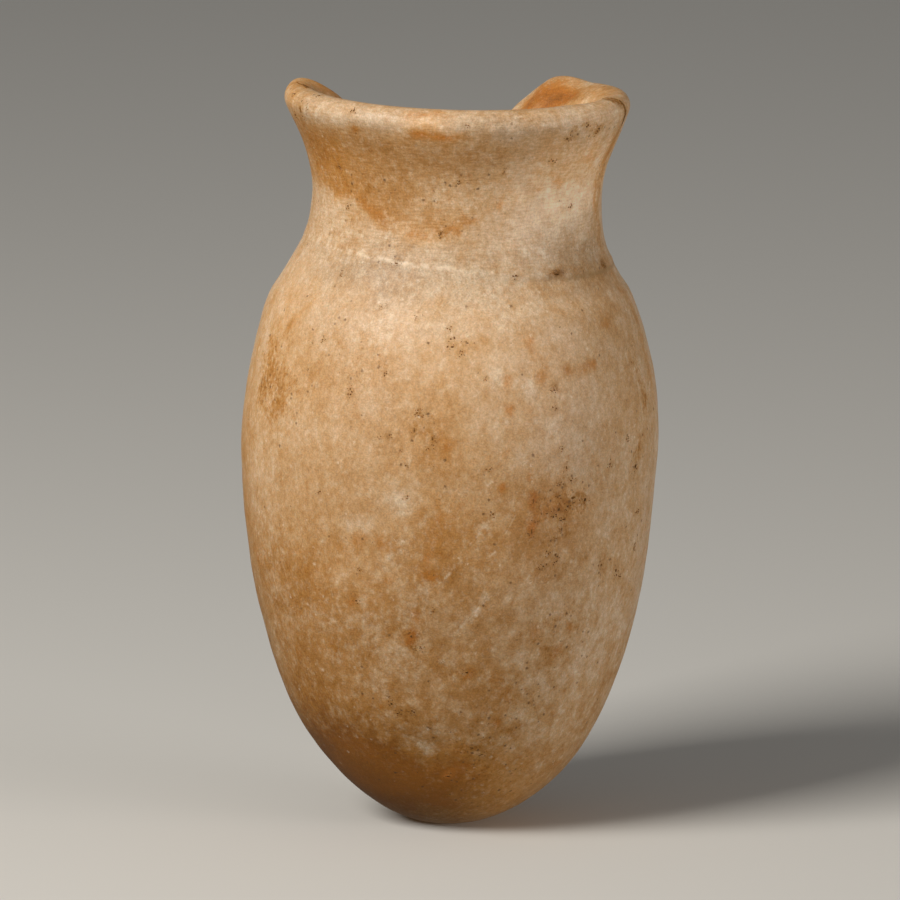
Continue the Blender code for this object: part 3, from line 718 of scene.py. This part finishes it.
# The cells' places are shaken a little, so that the marks aren't perfectly round.
swirl = node("TexNoise", {"Vector": spot, "Scale": 5.0, "Detail": 1.0})["Color"]
wander = vectors("MULTIPLY_ADD", swirl, (0.22, 0.22, 0.22), (-0.11, -0.11, -0.11))
small_grains = grains(0.55, 0.07, 0.19, summed((grime_here, 0.75), (middle, 0.10), -0.05))
large_grains = grains(1.20, 0.10, 0.28, summed((grime_here, 0.60), (middle, 0.10), -0.20))
# Glints: bright flecks in the colour, partly pale crystal and partly a painted sparkle of light off the
# polish.
glints = grains(0.80, 0.09, 0.24, summed((frost_here, 0.30), (middle, -0.15), (lower_body, 0.08), 0.08))
glints = maths("MULTIPLY", glints, between(dust, -0.45, 0.15))

unroll = vectors("MULTIPLY", node("UVMap", {}, uv_map="unrolled")[0], (360, REACH_SPAN, 0))
angle_here, reach_here, _ = apart(unroll)
outline_heights, outline_radii = zip(*OUTSIDE)


def offset_from(at_angle, at_reach):
    """How far each point is from a place on the outside: round, up and 0, in millimetres."""
    degree = math.radians(np.interp(at_reach, outline_heights, outline_radii))
    return vectors("MULTIPLY_ADD", unroll, (degree, 1, 0), (-(at_angle % 360) * degree, -at_reach, 0))


ring_off = vectors("LENGTH", offset_from(*RING_PLACE))
ring = between(maths("ABSOLUTE", maths("SUBTRACT", ring_off, RING_RADIUS)), 0.10, 0.02)

scratched = 0.0
for at_angle, at_reach, long, wide, slant, strength in PALE_SCRATCHES:
    along_scratch = turned(offset_from(at_angle, at_reach), -math.radians(slant))
    far = vectors("LENGTH", vectors("MULTIPLY", along_scratch, (1 / long, 1 / wide, 0)))
    near = between(summed((far, 1.0), (fine, 0.9)), 1.3, 0.2)
    scratched = maths("MULTIPLY_ADD", near, strength, scratched)
scratched = maths("MULTIPLY", scratched, between(crystals, -0.25, 0.30))

# Dirt and painted shade under the ledge on the right; its rubbed edge and a painted highlight on the
# left.
cosine = maths("COSINE", maths("RADIANS", angle_here))
over_ledge = summed((reach_here, 1.0), (cosine, 1.0), -LEDGE_HEIGHT)
ledge_dirt_and_shade = between(maths("ABSOLUTE", summed((over_ledge, 1.0), (fine, 0.30), 0.38)), 0.45, 0.0)
ledge_dirt_and_shade = maths("MULTIPLY", ledge_dirt_and_shade, between(summed((cosine, 1.0), (middle, 0.9)), 0.20, 0.95))
# On the lit left the ledge's edge is made pale: rubbed stone and a painted highlight.
ledge_edge_and_highlight = between(maths("ABSOLUTE", summed((over_ledge, 1.0), (middle, 0.45), -0.22)), 0.33, 0.0)
aside = maths("ABSOLUTE", maths("ADD", cosine, 0.35))
rubbed = between(summed((aside, 1.0), (fine, 1.2), (middle, 0.6)), 0.75, -0.1)
ledge_edge_and_highlight = maths("MULTIPLY", ledge_edge_and_highlight, rubbed)

for share, strength, tone in (
    (ledge_edge_and_highlight, 0.48, RUBBED_EDGE_AND_HIGHLIGHT), (ledge_dirt_and_shade, 0.60, LEDGE_DIRT_AND_SHADE),
    (glints, 0.36, BRIGHT_CRYSTAL_AND_GLINT), (scratched, 0.42, BRIGHT_CRYSTAL_AND_GLINT),
    (small_grains, 0.85, SMALL_GRAIN), (large_grains, 0.60, LARGE_GRAIN), (ring, 0.35, RING_DIRT),
):
    colour = mixed(maths("MULTIPLY", share, strength), colour, tone)

relief = summed((fine, 0.012), (dust, 0.008), (scratches, 0.008))
dullness = summed((fine, 0.12), (broad, 0.08), (dirty, 0.14), (pale_share, -0.06), 0.50)
wire(tree.nodes["Principled BSDF"], {
    "Base Color": colour, "Roughness": dullness, "Normal": bumped(relief),
    "Subsurface Weight": 0.2, "Subsurface Radius": (1.0, 0.5, 0.25), "Subsurface Scale": 0.0012,
    "Specular IOR Level": 0.36,
})
skin_mesh.materials.append(stone)


def added(name, data):
    """A new object in the scene, at the origin."""
    made = bpy.data.objects.new(name, data)
    bpy.context.scene.collection.objects.link(made)
    return made


skin = added("jar_skin", skin_mesh)
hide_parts("jar")
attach(skin, "root")

# Dirt in the pores
# Grains of dark burial dirt stuck in the stone's pores, and packed into the fissure that runs
# round the right end of the break and the crease over the knob on its left.

GRAINS = (  # angle, reach, half width, half height: one grain and its crumbs
    (-90.2, 53.3, 0.1, 0.14), (-90, 52.4, 0.13, 0.11), (-89.6, 51.65, 0.22, 0.11),
    (-85.1, 52, 0.26, 0.08), (-86.9, 50.9, 0.09, 0.09), (-87.5, 51.15, 0.06, 0.06),
    (-80.2, 48.5, 0.12, 0.07), (-99.6, 45.2, 0.15, 0.15), (-98.7, 45.6, 0.07, 0.08),
    (-99.2, 44.95, 0.15, 0.08), (-97.8, 45, 0.07, 0.1), (-100.2, 43.5, 0.07, 0.32),
    (-107.2, 42.9, 0.1, 0.14), (-109.6, 42.7, 0.1, 0.08), (-95.1, 42.7, 0.14, 0.3),
    (-96.1, 41.7, 0.15, 0.09), (-101.5, 39.9, 0.08, 0.08), (-103.9, 41.4, 0.06, 0.08),
    (-120, 47.1, 0.08, 0.2), (-119.7, 46.6, 0.13, 0.13), (-132.2, 51.5, 0.12, 0.12),
    (-109, 48.9, 0.1, 0.1), (-101.1, 54.3, 0.09, 0.09), (-113.5, 55.1, 0.07, 0.07),
    (-111.7, 55.3, 0.07, 0.05), (-134.3, 57.3, 0.09, 0.18), (-112.1, 59.1, 0.26, 0.1),
    (-66.7, 58.2, 0.15, 0.14), (-59.1, 47.4, 0.09, 0.13), (-59.5, 47, 0.14, 0.12),
    (-59.4, 45.2, 0.12, 0.1), (-56.5, 39.2, 0.12, 0.26), (-58, 41.1, 0.12, 0.16),
    (-40.2, 38.8, 0.18, 0.2), (-27.3, 37.8, 0.22, 0.34), (-32.4, 40.9, 0.12, 0.14),
    (-79.1, 39.6, 0.12, 0.12), (-54.8, 37.8, 0.2, 0.14), (-58.4, 37.5, 0.13, 0.13),
    (-58.2, 36.4, 0.14, 0.12), (-53.7, 36, 0.38, 0.24), (-49.5, 35.6, 0.24, 0.26),
    (-55.5, 35.2, 0.12, 0.18), (-58.3, 35, 0.18, 0.26), (-60, 34.3, 0.11, 0.2),
    (-56.4, 33.9, 0.28, 0.12), (-65.6, 33.9, 0.14, 0.11), (-62.1, 34.7, 0.2, 0.1),
    (-57, 32.9, 0.1, 0.26), (-66.5, 33, 0.1, 0.48), (-66.4, 36.1, 0.08, 0.5), (-58.6, 32, 0.12, 0.1),
    (-60.9, 30.5, 0.11, 0.15), (-57.9, 30.1, 0.12, 0.15), (-58.7, 29.5, 0.11, 0.1),
    (-62.2, 29.25, 0.18, 0.11), (-63.4, 29, 0.1, 0.08), (-77.8, 35, 0.14, 0.18),
    (-24.5, 33, 0.16, 0.18), (-23.9, 29.2, 0.13, 0.3), (-41, 28.5, 0.16, 0.18),
    (-33.6, 27.5, 0.22, 0.24), (-30.9, 26.7, 0.11, 0.12), (-128.6, 36.4, 0.12, 0.1),
    (-101.6, 36.6, 0.14, 0.1), (-115.8, 28.9, 0.11, 0.08), (-117.5, 25.7, 0.15, 0.12),
    (-94.4, 25, 0.08, 0.16), (-98.5, 21.2, 0.15, 0.1), (-100.2, 21, 0.09, 0.08),
    (-101.1, 22.3, 0.18, 0.22), (-84.2, 18.5, 0.22, 0.16), (-109.4, 14.9, 0.18, 0.18),
    (-107.7, 13.9, 0.18, 0.12), (-101.8, 14.1, 0.13, 0.18), (-103.1, 14, 0.12, 0.08),
    (-109.9, 15.7, 0.07, 0.08), (-97.1, 12.5, 0.09, 0.1), (-81, 10.1, 0.13, 0.16),
    (-77, 9.3, 0.17, 0.11), (-90.9, 6.8, 0.32, 0.14), (-89.5, 67.7, 0.13, 0.16),
    (-72.9, 68.7, 0.07, 0.2), (-86.5, 73.7, 0.09, 0.07), (-127.2, 74.4, 0.14, 0.2),
    (-96, 62.3, 0.12, 0.28), (-138.4, 64, 0.22, 0.13), (-140.9, 68, 0.18, 0.14),
    (-53.8, 69.6, 0.2, 0.11), (-50, 71.9, 0.3, 0.16), (-34.8, 72.5, 0.22, 0.16),
    (-35.6, 72, 0.18, 0.12), (-41.4, 73.1, 0.18, 0.14), (-49.2, 58, 0.55, 0.17),
    (-18.2, 57.8, 0.3, 0.22), (-163.4, 74.5, 0.18, 0.16), (-154.7, 73.3, 0.16, 0.55),
    (-148.3, 75.4, 0.2, 0.16), (-150.1, 73.7, 0.09, 0.16), (-161.5, 72.5, 0.14, 0.16),
    (-39.4, 64.4, 0.14, 0.12),
)
CRACKS = (  # a fissure round the right end of the break and a crease over the left knob
    ((-9.2, 76.9), (-14.5, 76), (-17.6, 75.3), (-16.6, 74.8), (-15.7, 74.3), (-15.2, 73.6),
     (-14.8, 73), (-13.8, 72)),
    ((-178, 75.5), (-173.2, 75.7), (-170, 76), (-166.5, 76.1), (-163.5, 75.8)),
)
STAINED_PITS = (  # pits that are stained further, given as the spots above are
    (43.8, 79, 0.45, 0.5, 80), (41.1, 78.2, 0.45, 0.5, 70), (35, 77.8, 0.45, 0.5, 80),
    (-18, 75.2, 0.8, 0.8, 160), (-48.6, 57.95, 1.5, 0.42, 100, 5), (-18.2, 57.8, 0.7, 0.5, 90),
)
GRAIN_THICK = 0.05
LUMP_HEIGHT, LUMP_CROWDING, LUMP_SHIFT = 0.45, 1.1, 3.7  # of the noise that makes grains ragged
GRAIN_SHARE = 0.70  # the grain itself, of the size that it and its crumbs take up
CRUMBS, CRUMB_LARGEST = 4, 0.11
CRUMB_MARGIN, CRUMB_SPREAD = 0.06, 2.0  # how far round a grain its crumbs lie
MEAN_RADIUS = 17
FISSURE_STEP, FISSURE_WIDTH = 0.11, 0.27
DARK_EARTH, PALE_EARTH = (0.070, 0.028, 0.004, 1), (0.24, 0.105, 0.024, 1)
THIN_EARTH = (0.40, 0.21, 0.07, 1)

# Each grain has stained the stone round it.
stained = [(at, up, wide + 0.20, tall + 0.20, 34) for at, up, wide, tall in GRAINS]
stained += [(at, up, 0.6, 0.6, 35) for line in CRACKS for at, up in line]
stained += STAINED_PITS
keep("halo", np.clip(spotted(stained), 0, 1))

draw = random.Random(11)
point_at = np.zeros((MERIDIANS, ROWS), int)
point_at[meridian, row] = np.arange(count)
round_grain = bmesh.new()
bmesh.ops.create_icosphere(round_grain, subdivisions=2, radius=1)
crown = np.array([vert.co.z for vert in round_grain.verts], np.float32)
grain_mesh = bpy.data.meshes.new("grain")
dirt_form = bmesh.new()


def on_skin(at_angle, at_reach):
    """The point at a place on the skin, and the ways round and up from it."""
    column = at_angle % 360 / 360 * MERIDIANS
    ends = []
    for side in (int(column), int(column) + 1):
        side %= MERIDIANS
        along = np.interp(at_reach, reaches[side], np.arange(ROWS))
        low = min(int(along), ROWS - 2)
        under, over = place[point_at[side, low]], place[point_at[side, low + 1]]
        ends.append((under + (over - under) * (along - low), over - under))
    (left, way_up), (right, _) = ends
    return left + (right - left) * (column % 1), right - left, way_up


def add_grain(at_angle, at_reach, wide, tall):
    """A ragged, flattened grain half sunk in the skin."""
    point, way_round, way_up = (Vector(value) for value in on_skin(at_angle, at_reach))
    way_round.normalize()
    way_out = way_round.cross(way_up).normalized()
    way_up = way_out.cross(way_round)
    seat = Matrix.Identity(4)
    for axis, size in enumerate((way_round * wide, way_up * tall, way_out * GRAIN_THICK)):
        for part in range(3):
            seat[part][axis] = size[part]
    grain = round_grain.copy()
    shift = Vector((at_angle, at_reach, wide)) * LUMP_SHIFT
    for vert in grain.verts:
        lump = 1 + LUMP_HEIGHT * noise.noise(vert.co * LUMP_CROWDING + shift)
        vert.co = (point + (seat @ (vert.co * lump))) * MM
    grain.to_mesh(grain_mesh)
    grain.free()
    dirt_form.from_mesh(grain_mesh)


def strewn(wide, tall):
    """How far a crumb lies from its grain: a random change of angle, and of reach."""
    bearing, far = draw.uniform(0, math.tau), draw.uniform(0.5, 1.0) * CRUMB_SPREAD
    return math.degrees(math.cos(bearing) * far * wide / MEAN_RADIUS), math.sin(bearing) * far * tall


for at_angle, at_reach, wide, tall in GRAINS:
    add_grain(at_angle, at_reach, wide * GRAIN_SHARE, tall * GRAIN_SHARE)
    for _ in range(CRUMBS):
        round_by, up_by = strewn(wide + CRUMB_MARGIN, tall + CRUMB_MARGIN)
        crumb = draw.uniform(0.4, 0.7) * min(wide, tall, CRUMB_LARGEST)
        add_grain(at_angle + round_by, at_reach + up_by, crumb, crumb)

for line in CRACKS:
    stops = [on_skin(*corner)[0] for corner in line]
    run = np.concatenate([[0], np.cumsum([np.linalg.norm(b - a) for a, b in zip(stops, stops[1:])])])
    for at in np.arange(0, run[-1], FISSURE_STEP):
        at_angle, at_reach = (np.interp(at, run, column) for column in zip(*line))
        wide = FISSURE_WIDTH * (0.25 + 0.75 * math.sin(math.pi * (at / run[-1]) ** 2.0))
        wide *= draw.uniform(0.7, 1.2)
        add_grain(at_angle, at_reach + draw.uniform(-0.03, 0.03), wide, wide)

dirt_mesh = mesh_from(dirt_form, "dirt_grains")
round_grain.free()
bpy.data.meshes.remove(grain_mesh)
dirt_mesh.shade_smooth()
# Where the dirt thins out at a grain's rim, the stone shows through it.
across_grain = np.tile(crown, len(dirt_mesh.vertices) // len(crown))
dirt_mesh.attributes.new("crown", "FLOAT", "POINT").data.foreach_set("value", across_grain)

# The same helpers now build the dirt's nodes.
dirt_stuff = new_material("burial_dirt")
tree = dirt_stuff.node_tree
spot = in_millimetres()
tone = between(summed((noisy(spot, 2.2, 1.0), 1.0), (noisy(spot, 0.12, 2.0), 0.6)), -0.35, 0.45)
earth = mixed(tone, DARK_EARTH, PALE_EARTH)
earth = mixed(between(painted("crown"), 0.80, 0.25), earth, THIN_EARTH)
wire(tree.nodes["Principled BSDF"], {
    "Base Color": earth, "Roughness": maths("MULTIPLY_ADD", tone, 0.1, 0.8),
    "Normal": bumped(maths("MULTIPLY", noisy(spot, 0.06, 2.0), 0.015)), "Specular IOR Level": 0.2,
})
dirt_mesh.materials.append(dirt_stuff)
dirt = added("dirt_grains", dirt_mesh)
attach(dirt, "root")

# Floor, light and camera
# A plain pale floor under two square softboxes: a strong one high on the left and a weak one low on
# the right. A long lens looks at the jar's middle from in front, from 10.5 degrees above level.

FLOOR_REACH = 3.0
FLOOR_GREY = (0.64, 0.64, 0.63, 1)
SURROUND_GREY = (0.133, 0.130, 0.124, 1)
LAMP_SIZE, LAMP_DISTANCE = 0.30, 0.65
LAMP_AIM = Vector((0, 0, 0.045))

floor_form = bmesh.new()
bmesh.ops.create_grid(floor_form, x_segments=1, y_segments=1, size=FLOOR_REACH)
floor_mesh = mesh_from(floor_form, "floor")
floor = added("floor", floor_mesh)
pale = new_material("pale_floor")
tree = pale.node_tree
wire(tree.nodes["Principled BSDF"], {"Base Color": FLOOR_GREY, "Roughness": 0.9})
floor_mesh.materials.append(pale)
# The floor takes light, but throws none up at the jar.
floor.visible_diffuse = False
floor.visible_glossy = False


def soft_light(name, round_by, up_by, power, colour):
    """A square softbox aimed at the jar, from degrees round to the right and degrees up."""
    lamp = bpy.data.lights.new(name, "AREA")
    lamp.shape = "SQUARE"
    lamp.size = LAMP_SIZE
    lamp.energy = power
    lamp.color = colour
    round_by, up_by = math.radians(round_by), math.radians(up_by)
    away = Vector((
        math.sin(round_by) * math.cos(up_by), -math.cos(round_by) * math.cos(up_by), math.sin(up_by),
    ))
    holder = added(name, lamp)
    holder.location = LAMP_AIM + away * LAMP_DISTANCE
    holder.rotation_euler = away.to_track_quat("Z", "Y").to_euler()


soft_light("key", -50, 36, 4.7, (1.0, 0.94, 0.85))
soft_light("fill", 60, 3, 2.2, (1.0, 0.95, 0.89))

world = bpy.data.worlds.new("studio")
world.use_nodes = True
world.node_tree.nodes["Background"].inputs["Color"].default_value = SURROUND_GREY
bpy.context.scene.world = world
bpy.context.scene.view_settings.view_transform = "Standard"

VIEW_HEIGHT = 0.0377
VIEW_DISTANCE = 1.512
VIEW_ELEVATION = math.radians(10.5)
lens = bpy.data.cameras.new("camera")
lens.lens = 600
lens.sensor_width = 36
camera = added("camera", lens)
camera.location = (
    0,
    -VIEW_DISTANCE * math.cos(VIEW_ELEVATION),
    VIEW_HEIGHT + VIEW_DISTANCE * math.sin(VIEW_ELEVATION),
)
camera.rotation_euler = (math.pi / 2 - VIEW_ELEVATION, 0, 0)
bpy.context.scene.camera = camera
